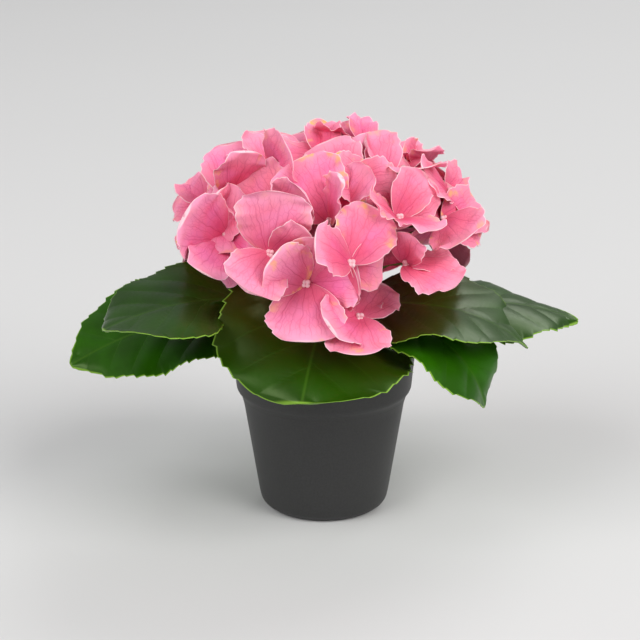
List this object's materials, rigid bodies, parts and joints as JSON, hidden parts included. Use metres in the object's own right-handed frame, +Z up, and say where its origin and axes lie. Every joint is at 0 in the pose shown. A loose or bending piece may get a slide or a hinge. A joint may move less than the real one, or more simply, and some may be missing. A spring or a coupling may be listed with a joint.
{
  "type": "artificial potted hydrangea",
  "caption": "Small artificial hydrangea: one round head of four-petalled cloth florets over a whorl of broad toothed leaves, standing in a tapered plastic pot with a collar.",
  "frame": {"origin": "centre of the pot's flat underside, on the surface it stands on", "axes": "+Z up; -Y towards the fuller, front side of the flower head; +X to the right of someone facing that side"},
  "size_m": [0.2514, 0.1879, 0.1961],
  "materials": {
    "pot": "matte",
    "fill": "matte",
    "stem": "satin",
    "leaf": "satin",
    "bough": "satin",
    "bloom": "matte"
  },
  "bodies": {
    "root": {"pot": "pot", "fill": "fill", "stem": "stem", "leaf_front": "leaf", "leaf_left_upper": "leaf", "leaf_right_upper": "leaf", "leaf_right_small": "leaf", "leaf_left_lower": "leaf", "leaf_right_back": "leaf", "leaf_back_left": "leaf", "leaf_back_right": "leaf", "bough_front": "bough", "bough_front_top": "bough", "bough_left": "bough", "bough_top": "bough", "bough_right": "bough", "bough_back_right": "bough", "bough_back": "bough", "bough_back_left": "bough", "mass_front": "bloom", "mass_front_top": "bloom", "mass_left": "bloom", "mass_top": "bloom", "mass_right": "bloom", "mass_back_right": "bloom", "mass_back": "bloom", "mass_back_left": "bloom"}
  },
  "joints": []
}
